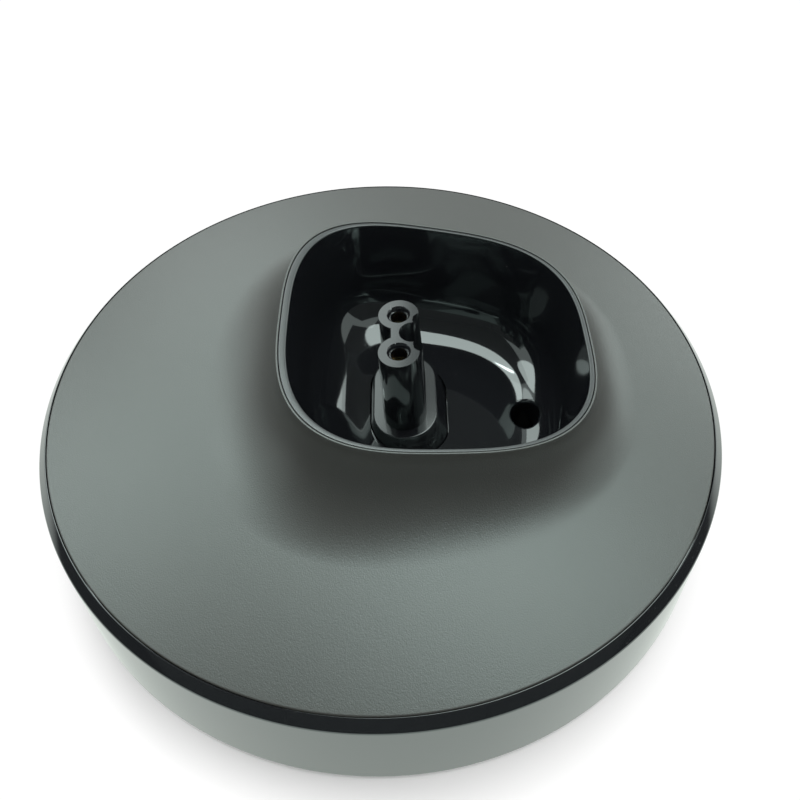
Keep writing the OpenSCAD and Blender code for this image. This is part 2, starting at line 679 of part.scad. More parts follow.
module ballast_weight() color([0.5, 0.5, 0.52]) translate([0, 0, plate_top]) difference() {
    cylinder(h = weight_t, r = weight_r);
    translate([0, 0, -1]) {
        cylinder(h = weight_t + 2, d = weight_bore);
        translate([-lead_slot / 2, 0, 0]) cube([lead_slot, 2 * weight_r, weight_t + 2]);
        translate([0, -drain_fwd, 0]) cylinder(h = weight_t + 2, r = spout_r + 2 * room);
        at_weight_screws() cylinder(h = weight_t + 2, r = weight_boss_r + room);
    }
}

module weight_screws() color([0.6, 0.6, 0.62]) at_weight_screws() translate([0, 0, weight_top])
    rotate([180, 0, 0]) screw(small_screw_d, weight_screw_l, washer_head_d, small_head_h);

module housing_screws() color([0.6, 0.6, 0.62]) at_feet() translate([0, 0, head_seat])
    screw(screw_d, housing_screw_l, screw_head_d, screw_head_h);

// Foot pad with a rounded lower edge, at angle a
module foot(a) {
    rotate([0, 0, a]) translate([foot_r, 0, 0]) rotate_extrude() {
        r = foot_d / 2;
        e = foot_h / 2;
        polygon(concat([[0, 0]], [for (q = [270 : 15 : 360]) [r - e + e * cos(q), e + e * sin(q)]],
            [[r, foot_top], [0, foot_top]]));
    }
}

module foot_front_left() color([0.22, 0.22, 0.22]) foot(foot_at[2]);
module foot_front_right() color([0.22, 0.22, 0.22]) foot(foot_at[3]);
module foot_rear_left() color([0.22, 0.22, 0.22]) foot(foot_at[1]);
module foot_rear_right() color([0.22, 0.22, 0.22]) foot(foot_at[0]);

top_cover();
cradle_cup();
side_ring();
bottom_plate();
connector_post();
connector_seal();
contact_bracket();
contact_left();
contact_right();
bracket_screws();
cradle_screws();
inlet_housing();
inlet_pin_left();
inlet_pin_right();
lead_left();
lead_right();
ballast_weight();
weight_screws();
housing_screws();
foot_front_left();
foot_front_right();
foot_rear_left();
foot_rear_right();
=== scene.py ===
"""Shaver charging stand: the visual model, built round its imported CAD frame.

Sizes are in millimetres until a mesh is finished. Front is -Y, up is +Z, and the table is z = 0.
"""

import json
import logging
from dataclasses import dataclass
from enum import Enum
from math import asin, atan2, copysign, cos, pi, radians, sin, sqrt, tan
from typing import Callable, Iterable, Sequence

import bmesh
import bpy
from bmesh.types import BMEdge, BMVert
from bpy.types import ID, Material, Mesh, NodeSocket, Object
from mathutils import Matrix, Vector
from mathutils.bvhtree import BVHTree
from mathutils.interpolate import poly_3d_calc


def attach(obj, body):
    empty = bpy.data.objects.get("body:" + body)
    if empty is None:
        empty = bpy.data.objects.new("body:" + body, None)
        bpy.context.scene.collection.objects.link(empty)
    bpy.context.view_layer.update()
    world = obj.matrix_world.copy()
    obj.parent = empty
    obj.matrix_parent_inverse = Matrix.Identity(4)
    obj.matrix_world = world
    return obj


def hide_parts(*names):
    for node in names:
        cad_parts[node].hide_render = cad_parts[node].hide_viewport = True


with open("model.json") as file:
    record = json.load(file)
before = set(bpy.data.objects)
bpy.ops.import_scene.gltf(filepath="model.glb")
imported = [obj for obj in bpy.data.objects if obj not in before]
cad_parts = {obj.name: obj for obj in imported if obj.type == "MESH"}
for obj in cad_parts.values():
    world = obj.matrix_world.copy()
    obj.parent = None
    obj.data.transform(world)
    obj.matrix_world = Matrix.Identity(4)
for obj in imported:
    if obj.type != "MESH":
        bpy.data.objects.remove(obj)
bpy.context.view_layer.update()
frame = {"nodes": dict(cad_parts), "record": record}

MM = 0.001
ROOT = "root"
PAST = 1.0  # how far a cutter runs past the face that it opens
RingPath = Callable[[float], Vector]
EdgeTest = Callable[[BMEdge], bool]
Pair = tuple[float, float]
Triple = tuple[float, float, float]
Tint = tuple[float, float, float, float]
Boss = tuple[float, float, float, float, float]
log = logging.getLogger("stand")


class Join(Enum):
    """How a mesh is combined with another one."""

    ADD = "UNION"
    CUT = "DIFFERENCE"


# ---- shapes ----


class Form:
    """A mesh under construction, in millimetres."""

    def __init__(self) -> None:
        """Starts an empty mesh whose points remember their turn round the ring they lie on."""
        self.bm = bmesh.new()
        self.turn = self.bm.verts.layers.float.new("turn")

    def loft(self, rings: Sequence[RingPath], count: int = 256, closed: bool = False) -> "Form":
        """Extrudes one ring of points through a row of paths.

        Args:
            rings: The paths, each giving a point for a turn in radians, 0 at the front.
            count: Points round the ring.
            closed: Whether the last path joins the first one. Otherwise both ends get a face.

        Returns:
            This form.
        """
        bm = self.bm
        ring = bmesh.ops.create_circle(bm, segments=count, radius=1.0)["verts"]
        for vert in ring:
            vert[self.turn] = atan2(vert.co.x, -vert.co.y)
            vert.co = rings[0](vert[self.turn])
        edges = list({e for v in ring for e in v.link_edges})
        first = edges
        for path in list(rings[1:]) + ([rings[0]] if closed else []):
            made = bmesh.ops.extrude_edge_only(bm, edges=edges)["geom"]
            fresh = {g for g in made if isinstance(g, BMVert)}
            edges = [g for g in made if isinstance(g, BMEdge) and set(g.verts) <= fresh]
            for vert in fresh:
                vert.co = path(vert[self.turn])
        if closed:
            bmesh.ops.remove_doubles(bm, verts=bm.verts[:], dist=1e-5)
        else:
            for rim in (first, edges):
                bmesh.ops.contextual_create(bm, geom=rim)
        return self

    def spun(self, profile: Sequence[Pair], steps: int = 256) -> "Form":
        """Spins a closed profile about the Z axis.

        Args:
            profile: Radius and height of each corner, in order.
            steps: Steps round the axis.

        Returns:
            This form.
        """
        bm = self.bm
        verts = [bm.verts.new((r, 0.0, z)) for r, z in profile]
        edges = [bm.edges.new((a, b)) for a, b in zip(verts, verts[1:] + verts[:1])]
        bmesh.ops.spin(bm, geom=verts + edges, cent=(0, 0, 0), axis=(0, 0, 1), angle=2 * pi,
                       steps=steps, use_merge=True)
        bmesh.ops.remove_doubles(bm, verts=bm.verts[:], dist=1e-5)
        return self

    def drum(self, radius: float, low: float, high: float, at: Sequence[float] = (0.0, 0.0),
             count: int = 64, top_radius: float | None = None) -> "Form":
        """Adds a cylinder or a cone along Z.

        Args:
            radius: Radius at the low end.
            low: Height of the low end.
            high: Height of the high end.
            at: Place of its axis.
            count: Points round it.
            top_radius: Radius at the high end, if it differs.

        Returns:
            This form.
        """
        top = radius if top_radius is None else top_radius
        middle = Matrix.Translation((at[0], at[1], (low + high) / 2))
        bmesh.ops.create_cone(self.bm, cap_ends=True, segments=count, radius1=radius, radius2=top,
                              depth=high - low, matrix=middle)
        return self

    def block(self, low: Sequence[float], high: Sequence[float]) -> "Form":
        """Adds a box between two corners.

        Args:
            low: The corner with the lowest coordinates.
            high: The corner with the highest ones.

        Returns:
            This form.
        """
        size = [b - a for a, b in zip(low, high)]
        middle = Matrix.Translation([(a + b) / 2 for a, b in zip(low, high)])
        bmesh.ops.create_cube(self.bm, size=1.0, matrix=middle @ Matrix.Diagonal((*size, 1.0)))
        return self

    def soften(self, pick: EdgeTest, radius: float, segments: int = 3) -> "Form":
        """Bevels the edges that a test picks.

        Args:
            pick: Test on an edge.
            radius: Width of the bevel.
            segments: Steps across it.

        Returns:
            This form.
        """
        edges = [e for e in self.bm.edges if pick(e)]
        bmesh.ops.bevel(self.bm, geom=edges, offset=radius, offset_type="OFFSET", segments=segments,
                        profile=0.5, affect="EDGES", material=-1, clamp_overlap=True)
        return self

    def finish(self, name: str, sharp: float = 40.0) -> Object:
        """Turns the form into an object in metres, with its faces pointing outwards.

        Args:
            name: Name of the object.
            sharp: Angle in degrees from which an edge is drawn sharp.

        Returns:
            The linked object.
        """
        bm = self.bm
        bmesh.ops.recalc_face_normals(bm, faces=bm.faces[:])
        bmesh.ops.scale(bm, vec=(MM, MM, MM), verts=bm.verts[:])
        mesh = bpy.data.meshes.new(name)
        bm.to_mesh(mesh)
        bm.free()
        obj = bpy.data.objects.new(name, mesh)
        bpy.context.scene.collection.objects.link(obj)
        redraw(obj, sharp)
        return obj


def peg(radius: float, low: float, high: float, at: Sequence[float], **more: float) -> Object:
    """A finished cylinder or cone that is added to a mesh or cut out of it."""
    return Form().drum(radius, low, high, at, **more).finish("peg")


def bake(obj: Object) -> None:
    """Applies the modifiers of an object.

    Args:
        obj: The object, which keeps its name and place.
    """
    graph = bpy.context.evaluated_depsgraph_get()
    mesh = bpy.data.meshes.new_from_object(obj.evaluated_get(graph))
    obj.modifiers.clear()
    old, obj.data = obj.data, mesh
    bpy.data.meshes.remove(old)
    mesh.name = obj.name


def combine(obj: Object, how: Join, others: Iterable[Object]) -> Object:
    """Adds objects to a mesh or cuts them out of it, and removes them.

    Args:
        obj: The mesh that changes.
        how: Whether the others are added or cut out.
        others: The objects used up.

    Returns:
        The changed object.
    """
    for other in others:
        modifier = obj.modifiers.new("join", "BOOLEAN")
        modifier.operation = how.value
        modifier.solver = "MANIFOLD"
        modifier.object = other
        bake(obj)
        bpy.data.objects.remove(other)
    return obj


def redraw(obj: Object, sharp: float = 40.0) -> None:
    """Shades a mesh smooth with its folds sharp, and lets its large faces lead the small ones.

    Args:
        obj: The object.
        sharp: Angle in degrees from which an edge is drawn sharp.
    """
    obj.data.shade_smooth()
    obj.data.set_sharp_from_angle(angle=radians(sharp))
    modifier = obj.modifiers.new("normals", "WEIGHTED_NORMAL")
    modifier.mode = "FACE_AREA"
    modifier.keep_sharp = True
    bake(obj)


def search_tree(mesh: Mesh, unit: float = 1.0) -> BVHTree:
    """Search tree of a mesh's faces, measured in a unit given in metres."""
    faces = [face.vertices[:] for face in mesh.polygons]
    return BVHTree.FromPolygons([vert.co / unit for vert in mesh.vertices], faces)


def borrow_shading(obj: Object, smooth: Mesh, reach: float = 2e-6) -> None:
    """Gives a cut mesh the shading of the uncut surface wherever it still lies on it.

    Args:
        obj: The cut object.
        smooth: The uncut mesh, shaded as it should look.
        reach: Farthest distance in metres at which a face counts as lying on it.
    """
    mesh = obj.data
    tree = search_tree(smooth)
    corner = [Vector(n.vector) for n in smooth.corner_normals]
    own = [Vector(n.vector) for n in mesh.corner_normals]
    for face in mesh.polygons:
        _, normal, index, gap = tree.find_nearest(face.center)
        far = index is None or gap > max(reach, 0.02 * sqrt(face.area))
        if far or normal.dot(face.normal) < 0.97:
            continue
        for loop in face.loop_indices:
            point = mesh.vertices[mesh.loops[loop].vertex_index].co.lerp(face.center, 0.02)
            _, _, near, _ = tree.find_nearest(point)
            source = smooth.polygons[near]
            corners = [smooth.vertices[v].co for v in source.vertices]
            blended = Vector((0.0, 0.0, 0.0))
            for weight, at in zip(poly_3d_calc(corners, point), source.loop_indices):
                blended += corner[at] * weight
            if blended.dot(face.normal) > 0.5:
                own[loop] = blended.normalized()
    mesh.normals_split_custom_set(own)


def rounded_square(turn: float, a: float, b: float, taper: float, power: float, fwd: float) -> Vector:
    """Point of a rounded square in plan.

    Args:
        turn: Turn in radians, 0 at the front.
        a: Half of its length, front to back.
        b: Half of its width.
        taper: How much it narrows to the front.
        power: Its squareness, 2 for an ellipse.
        fwd: Distance of its centre in front of the base axis.

    Returns:
        The point, at height 0.
    """
    reach = (abs(cos(turn) / a) ** power + abs(sin(turn) / b) ** power) ** (-1 / power)
    ahead = reach * cos(turn)
    return Vector((reach * sin(turn) * (1 - taper * ahead / b), -fwd - ahead, 0.0))


def mix(a: float, b: float, t: float) -> float:
    """Value a share t of the way from a to b."""
    return a + (b - a) * t


def quarter(step: float) -> list[Pair]:
    """1 less cosine and 1 less sine of the angles from 0 to 90 degrees, a step apart."""
    angles = [radians(step * i) for i in range(int(90 / step) + 1)]
    return [(1 - cos(a), 1 - sin(a)) for a in angles]


def stadium(radius: float, flat: float, height: float) -> RingPath:
    """Path of two round ends joined by straights.

    Args:
        radius: Radius of the ends.
        flat: Length of the straights.
        height: Height of the path.

    Returns:
        The path.
    """

    def path(turn: float) -> Vector:
        """Point of the stadium at a turn.

        Args:
            turn: Turn round the path in radians, 0 at the front.

        Returns:
            The point, in millimetres.
        """
        side = sin(turn)
        shift = copysign(flat / 2, side) if abs(side) > 1e-6 else 0.0
        return Vector((shift + radius * side, -radius * cos(turn), height))

    return path


@dataclass(frozen=True)
class Mouth:
    """Plan and plane of the cradle's mouth."""

    half_l: float = 23.65
    half_w: float = 23.7
    taper: float = 0.083
    square: float = 2.97
    fwd: float = 9.6
    height: float = 34.1
    tilt: float = 6.85
    lip: float = 0.6
    lip_front: float = 0.75
    lip_back: float = 1.1
    ear_x: float = 36.0
    ear_pitch: float = 18.0

    def ears(self) -> list[tuple[Pair, Pair]]:
        """Places of the front and back screw of each ear."""
        half = self.ear_pitch / 2
        return [((x, -self.fwd - half), (x, -self.fwd + half)) for x in (-self.ear_x, self.ear_x)]

    @property
    def extra(self) -> float:
        """Half-length that the lip gains over its width at the sides."""
        return (self.lip_front + self.lip_back) / 2 - self.lip

    @property
    def shift(self) -> float:
        """Distance by which the lip's centre lies behind the mouth's."""
        return (self.lip_back - self.lip_front) / 2

    def plane(self, y: float) -> float:
        """Height of the mouth's plane over a point at y."""
        return self.height + tan(radians(self.tilt)) * (y + self.fwd)

    def plan(self, turn: float, off: float, square: float | None = None) -> Vector:
        """Point on or beside the mouth, in plan.

        Args:
            turn: Turn round the path in radians, 0 at the front.
            off: Distance outside the mouth, or inside it if negative.
            square: Squareness, if it isn't the mouth's own.

        Returns:
            The point, at height 0.
        """
        share = max(0.0, min(1.0, off / self.lip))
        return rounded_square(turn, self.half_l + off + share * self.extra, self.half_w + off,
                              self.taper, square or self.square, self.fwd - share * self.shift)

    def ring(self, off: float, deep: float, square: float | None = None) -> RingPath:
        """Path that follows the mouth.

        Args:
            off: Distance outside the mouth, or inside it if negative.
            deep: Depth below the mouth's plane.
            square: Squareness, if it isn't the mouth's own.

        Returns:
            The path.
        """

        def path(turn: float) -> Vector:
            """Point of the ring at a turn.

            Args:
                turn: Turn round the path in radians, 0 at the front.

            Returns:
                The point, in millimetres.
            """
            point = self.plan(turn, off, square)
            point.z = self.plane(point.y) - deep
            return point

        return path


# ---- shader graphs ----


class Wire:
    """A node's output that takes part in arithmetic."""

    def __init__(self, graph: "Graph", socket: NodeSocket) -> None:
        """Wraps a socket of a graph."""
        self.graph = graph
        self.socket = socket

    def _sum(self, operation: str, a: object, b: object) -> "Wire":
        """Adds a Math node for two values."""
        return self.graph.add("ShaderNodeMath", {"operation": operation}, {0: a, 1: b})

    def __add__(self, other: object) -> "Wire":
        """Sum."""
        return self._sum("ADD", self, other)

    __radd__ = __add__

    def __sub__(self, other: object) -> "Wire":
        """Difference."""
        return self._sum("SUBTRACT", self, other)

    def __rsub__(self, other: object) -> "Wire":
        """Difference, the other way round."""
        return self._sum("SUBTRACT", other, self)

    def __mul__(self, other: object) -> "Wire":
        """Product."""
        return self._sum("MULTIPLY", self, other)

    __rmul__ = __mul__

    def clamp(self) -> "Wire":
        """The value kept between 0 and 1."""
        return self.graph.add("ShaderNodeClamp", {}, {"Value": self})

    def rise(self, start: float, width: float) -> "Wire":
        """0 up to a start in millimetres, and 1 from a width beyond it."""
        return ((self - start * MM) * (1 / (width * MM))).clamp()


class Graph:
    """The node graph of one material or world."""

    def __init__(self, name: str, world: bool = False) -> None:
        """Makes a material or a world with an empty graph.

        Args:
            name: Name of the material or world.
            world: Whether it is a world.
        """
        self.kind = "World" if world else "Material"
        self.block = (bpy.data.worlds if world else bpy.data.materials).new(name)
        self.block.use_nodes = True
        self.tree = self.block.node_tree
        self.tree.nodes.clear()

    def add(self, kind: str, settings: dict[str, object] | None = None,
            values: dict[object, object] | None = None, out: object = 0) -> Wire:
        """Adds a node.

        Args:
            kind: Type of the node.
            settings: Its properties, set first. A ramp's "stops" are (place, colour) pairs.
            values: Values or wires for its inputs, by name or number.
            out: Name or number of the output that is returned.

        Returns:
            That output.
        """
        node = self.tree.nodes.new(kind)
        for key, value in (settings or {}).items():
            if key == "stops":
                ramp = node.color_ramp.elements
                for spot, (place, colour) in enumerate(value):
                    stop = ramp[spot] if spot < 2 else ramp.new(place)
                    stop.position, stop.color = place, colour
            else:
                setattr(node, key, value)
        for key, value in (values or {}).items():
            if isinstance(value, Wire):
                self.tree.links.new(value.socket, node.inputs[key])
            elif value is not None:
                node.inputs[key].default_value = value
        return Wire(self, node.outputs[out])

    def place(self) -> Wire:
        """The point on the object, in metres."""
        return self.add("ShaderNodeTexCoord", out="Object")

    def noise(self, size: float, detail: float = 2.0, roughness: float = 0.5,
              stretch: Vector | None = None) -> Wire:
        """A soft noise between 0 and 1.

        Args:
            size: Size of its features in millimetres.
            detail: Octaves.
            roughness: Weight of the finer octaves.
            stretch: Scale along each axis before the noise is read.

        Returns:
            The noise.
        """
        place = self.place()
        if stretch is not None:
            place = self.add("ShaderNodeMapping", {}, {"Vector": place, "Scale": stretch})
        return self.add("ShaderNodeTexNoise", {}, {"Vector": place, "Scale": 1 / (size * MM),
                                                   "Detail": detail, "Roughness": roughness})

    def blend(self, share: Wire, low: Sequence[float], high: Sequence[float]) -> Wire:
        """A colour between two others, by a share."""
        ends = {0: share, 6: (*low, 1), 7: (*high, 1)}
        return self.add("ShaderNodeMix", {"data_type": "RGBA"}, ends, out=2)

    def bump(self, height: Wire, depth: float) -> Wire:
        """A normal bumped by a height from 0 to 1, to a depth in millimetres."""
        return self.add("ShaderNodeBump", {}, {"Height": height, "Distance": depth * MM})

    def varied(self, share: Wire, colour: Sequence[float], less: float, more: float) -> Wire:
        """A colour that varies a little with a share.

        Args:
            share: The share, 0 at the dark end and 1 at the light end.
            colour: The middle colour.
            less: Part of it that is lost at the dark end.
            more: Part of it that is gained at the light end.

        Returns:
            The colour.
        """
        high = [min(1.0, c * (1 + more)) for c in colour]
        return self.blend(share, [c * (1 - less) for c in colour], high)

    def close(self, **values: object) -> Material:
        """Ends the graph in a Principled shader.

        Args:
            values: Its inputs, with underscores for blanks.

        Returns:
            The material.
        """
        named = {key.replace("_", " "): value for key, value in values.items()}
        return self.end(self.add("ShaderNodeBsdfPrincipled", {}, named))

    def end(self, shader: Wire) -> ID:
        """Links a shader to the output.

        Args:
            shader: The shader.

        Returns:
            The finished material or world.
        """
        out = self.tree.nodes.new("ShaderNodeOutput" + self.kind)
        self.tree.links.new(shader.socket, out.inputs["Surface"])
        return self.block


# ---- finishes ----


@dataclass(frozen=True)
class Textured:
    """Moulded plastic with a fine spark-eroded texture."""

    name: str
    colour: Triple = (0.031, 0.029, 0.026)
    rough: float = 0.42
    grain: float = 0.21
    depth: float = 0.034
    cloud: float = 9.0
    mottle: float = 0.12
    spread: float = 0.03
    index: float = 1.9
    tint: Tint = (0.81, 1.0, 0.955, 1.0)

    def make(self) -> Material:
        """Builds the material.

        Returns:
            The material.
        """
        g = Graph(self.name)
        grain = g.noise(self.grain, 3.0, 0.6)
        cloud = g.noise(self.cloud, 3.0)
        colour = g.varied(cloud * 0.6 + grain * 0.4, self.colour, self.mottle, self.mottle)
        rough = self.rough - self.spread + grain * (2 * self.spread)
        return g.close(Base_Color=colour, Roughness=rough, IOR=self.index, Specular_Tint=self.tint,
                       Normal=g.bump(grain, self.depth))


@dataclass(frozen=True)
class Polished:
    """Polished moulded plastic: faint waviness, and fine dust that dulls it here and there."""

    name: str
    colour: Triple = (0.006, 0.0068, 0.008)
    rough: float = 0.05
    wave: float = 0.004
    index: float = 1.9
    tint: Tint = (0.86, 1.0, 0.97, 1.0)
    cloud: float = 14.0
    haze: float = 0.03
    speck: float = 0.55
    speck_from: float = 0.70
    speck_gain: float = 8.0
    dust: float = 0.05
    dust_rough: float = 0.25
    rim: Mouth | None = None
    rim_deep: float = 0.45
    rim_edge: float = 0.125
    rim_rough: float = 0.3

    def lip(self, g: Graph, mouth: Mouth) -> Wire:
        """Share of the satin lip: 1 within a hair of the mouth's plane, 0 below it.

        Args:
            g: Graph of the material.
            mouth: The mouth whose lip is meant.

        Returns:
            The share.
        """
        y, z = (g.add("ShaderNodeSeparateXYZ", {}, {"Vector": g.place()}, axis) for axis in "YZ")
        level = z - y * tan(radians(mouth.tilt))
        return level.rise(mouth.plane(0.0) - self.rim_deep, self.rim_edge)

    def make(self) -> Material:
        """Builds the material.

        Returns:
            The material.
        """
        g = Graph(self.name)
        cloud = g.noise(self.cloud)
        specks = (g.noise(self.speck, 2.0, 0.4) - self.speck_from).clamp() * self.speck_gain
        dust = specks.clamp() * cloud.clamp()
        colour = g.blend(dust, self.colour, [c + self.dust for c in self.colour])
        rough = self.rough + cloud * self.haze + dust * self.dust_rough
        if self.rim is not None:
            rough = rough + self.lip(g, self.rim) * self.rim_rough
        return g.close(Base_Color=colour, Roughness=rough, IOR=self.index, Specular_Tint=self.tint,
                       Normal=g.bump(cloud, self.wave))


@dataclass(frozen=True)
class Rubber:
    """Soft dark rubber."""

    name: str
    colour: Triple = (0.045, 0.045, 0.047)

    def make(self) -> Material:
        """Builds the material.

        Returns:
            The material.
        """
        g = Graph(self.name)
        grain = g.noise(0.5, 4.0, 0.6)
        colour = g.varied(grain, self.colour, 0.2, 0.25)
        return g.close(Base_Color=colour, Roughness=0.62 + grain * 0.2, Normal=g.bump(grain, 0.02))


@dataclass(frozen=True)
class Metal:
    """Plated or bare metal with fine tool marks along one axis."""

    name: str
    colour: Triple
    rough: float = 0.28
    marks: Triple = (1.0, 12.0, 1.0)

    def make(self) -> Material:
        """Builds the material.

        Returns:
            The material.
        """
        g = Graph(self.name)
        line = g.noise(1.6, 4.0, 0.6, Vector(self.marks))
        tone = g.noise(5.0, 2.0)
        colour = g.varied(tone, self.colour, 0.14, 0.08)
        return g.close(Base_Color=colour, Metallic=1.0, Roughness=self.rough + line * 0.14,
                       Normal=g.bump(line, 0.003))


@dataclass(frozen=True)
class Sheathing:
    """Extruded insulation of a lead."""

    name: str
    colour: Triple

    def make(self) -> Material:
        """Builds the material.

        Returns:
            The material.
        """
        g = Graph(self.name)
        tone = g.noise(1.2, 3.0)
        colour = g.varied(tone, self.colour, 0.15, 0.15)
        return g.close(Base_Color=colour, Roughness=0.4 + tone * 0.12, Normal=g.bump(tone, 0.01))


FINISHES = (
    Textured("cover_matte"),
    Polished("gloss_shell", rim=Mouth()),
    Polished("plug_plastic", colour=(0.007, 0.0078, 0.009), rough=0.09, index=1.7),
    Textured("base_plastic", colour=(0.033, 0.033, 0.035), rough=0.5, grain=0.4),
    Textured("bracket_plastic", colour=(0.25, 0.25, 0.26), rough=0.5, grain=0.4),
    Textured("inlet_plastic", colour=(0.028, 0.028, 0.03), rough=0.4, grain=0.3),
    Rubber("seal_rubber"),
    Rubber("foot_rubber", colour=(0.05, 0.05, 0.052)),
    Metal("contact_brass", (0.86, 0.62, 0.24), 0.2),
    Metal("screw_steel", (0.62, 0.62, 0.64), 0.25),
    Metal("pin_nickel", (0.72, 0.72, 0.72), 0.15),
    Metal("weight_steel", (0.50, 0.50, 0.52), 0.35),
    Sheathing("lead_blue", (0.04, 0.10, 0.42)),
    Sheathing("lead_brown", (0.20, 0.08, 0.035)),
)


def dress(obj: Object, material: Material) -> None:
    """Gives an object one material."""
    obj.data.materials.clear()
    obj.data.materials.append(material)


def settle(obj: Object, slot: str, material: Material, *nodes: str) -> None:
    """Dresses a finished piece and seats it in the place of CAD nodes.

    Args:
        obj: The piece.
        slot: Material slot of the record. Not used.
        material: Its material.
        nodes: The CAD nodes that it stands for.
    """
    dress(obj, material)
    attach(obj, ROOT)
    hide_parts(*nodes)
    log.info("%s: %d faces, for %s", obj.name, len(obj.data.polygons), ", ".join(nodes))


# ---- the stand's pieces ----


@dataclass
class Cover:
    """Matte cover: a low dome that flares up into the collar round the cradle.

    A boss has a radius, its bore's radius, its bottom, its top and the roof left over the bore.
    """

    mouth: Mouth
    radius: float = 55.85
    edge_z: float = 20.2
    rise: float = 5.5
    wall: float = 1.8
    skirt_z: float = 18.2
    collar_in: float = 0.7
    collar_out: float = 1.0
    flare_ratio: float = 1.15
    foot_square: float = 2.35
    edge_r: float = 0.3
    collar_r: float = 0.1
    boss_at: float = 44.0
    boss: Boss = (3.45, 1.5, 5.65, 21.28, 2.0)
    ear_boss: Boss = (3.1, 1.15, 17.8, 21.9, 1.0)

    def dome(self, radius: float) -> float:
        """Height of the bare dome at a radius."""
        return self.edge_z + self.rise * (1 - (radius / self.radius) ** 2)

    def flare(self, turn: float) -> Pair:
        """Size of the flare at a turn.

        Args:
            turn: Turn round the path in radians, 0 at the front.

        Returns:
            Its width and its height.
        """
        point = self.mouth.plan(turn, self.collar_out)
        high = self.mouth.plane(point.y) - self.dome(point.length)
        return self.flare_ratio * high, high

    def flare_ring(self, sweep: Callable[[float], float], behind: float) -> RingPath:
        """Path on the flare.

        Args:
            sweep: Sweep of the quarter ellipse in radians at a turn: 0 at the foot.
            behind: Distance behind the outer face.

        Returns:
            The path.
        """

        def path(turn: float) -> Vector:
            """Point of the flare at a turn.

            Args:
                turn: Turn round the path in radians, 0 at the front.

            Returns:
                The point, in millimetres.
            """
            wide, high = self.flare(turn)
            angle = sweep(turn)
            off = wide - (wide + behind) * sin(angle)
            square = mix(self.foot_square, self.mouth.square, min(1.0, 1 - off / wide))
            point = self.mouth.plan(turn, self.collar_out + off, square)
            point.z = self.dome(point.length) + high - (high + behind) * cos(angle)
            return point

        return path

    def dome_ring(self, share: float, end: float, behind: float) -> RingPath:
        """Path on the dome.

        Args:
            share: Share of the way from the flare's foot to the end.
            end: Radius at which the dome ends.
            behind: Depth below the outer face.

        Returns:
            The path.
        """

        def path(turn: float) -> Vector:
            """Point of the dome at a turn.

            Args:
                turn: Turn round the path in radians, 0 at the front.

            Returns:
                The point, in millimetres.
            """
            off = self.collar_out + self.flare(turn)[0]
            mouth = self.mouth
            point = rounded_square(turn, mix(mouth.half_l + mouth.extra + off, end, share),
                                   mix(mouth.half_w + off, end, share), mix(mouth.taper, 0, share),
                                   mix(self.foot_square, 2, share),
                                   mix(mouth.fwd - mouth.shift, 0, share))
            point.z = self.dome(point.length) - behind
            return point

        return path

    def rings(self) -> list[RingPath]:
        """Paths of the whole section of the cover.

        Returns:
            The paths, from the collar's edge out over the dome, under the skirt and back.
        """
        mouth, r = self.mouth, self.collar_r

        def bore(turn: float) -> float:
            """Sweep at which the flare's inner face meets the collar's bore."""
            wide = self.flare(turn)[0]
            return asin((wide + self.collar_out - self.collar_in) / (wide + self.wall))

        def top(turn: float) -> float:
            """Sweep just below the rounded edge of the collar."""
            return pi / 2 - asin(min(1.0, r / self.flare(turn)[1]))

        def circle(radius: float, z: float) -> RingPath:
            """Round path at a height."""
            return lambda turn: Vector((radius * sin(turn), -radius * cos(turn), z))

        arc = quarter(30)
        paths = [mouth.ring(self.collar_in + r * c, r * s) for c, s in arc]
        paths += [mouth.ring(self.collar_out - r * s, r * c) for c, s in arc[:-1]]
        steps = 26
        for i in range(steps + 1):
            paths.append(self.flare_ring(lambda turn, s=1 - i / steps: top(turn) * s, 0.0))
        steps = 14
        end = self.radius - self.edge_r
        paths += [self.dome_ring(i / steps, end, 0.0) for i in range(1, steps + 1)]
        edge = self.dome(end)
        paths += [circle(end + self.edge_r * (1 - s), edge - self.edge_r * c) for c, s in arc[1:]]
        inner = self.radius - self.wall
        paths += [circle(self.radius, self.skirt_z), circle(inner, self.skirt_z)]
        paths += [self.dome_ring(i / 4, inner, self.wall) for i in range(4, 0, -1)]
        for i in range(9):
            paths.append(self.flare_ring(lambda turn, s=i / 8: bore(turn) * s, self.wall))
        return paths

    def add_boss(self, shell: Object, spot: Sequence[float], size: Sequence[float]) -> None:
        """Adds a screw boss under the shell.

        Args:
            shell: The cover so far.
            spot: Place of the boss's axis.
            size: Its sizes.
        """
        radius, bore, low, high, roof = size
        boss = peg(radius, low, high, spot)
        combine(boss, Join.CUT, [peg(bore, low - PAST, high - roof, spot)])
        combine(shell, Join.ADD, [boss])

    def build(self, material: Material) -> Object:
        """Builds and seats the cover.

        Args:
            material: Its finish.

        Returns:
            The piece.
        """
        shell = Form().loft(self.rings(), closed=True).finish("cover_shell", 50)
        shading = shell.data.copy()
        for i in range(4):
            turn = radians(45 + 90 * i)
            spot = (self.boss_at * cos(turn), self.boss_at * sin(turn))
            self.add_boss(shell, spot, self.boss)
        for ear in self.mouth.ears():
            for spot in ear:
                self.add_boss(shell, spot, self.ear_boss)
        redraw(shell, 50)
        borrow_shading(shell, shading)
        settle(shell, "cover_matte", material, "top_cover")
        return shell


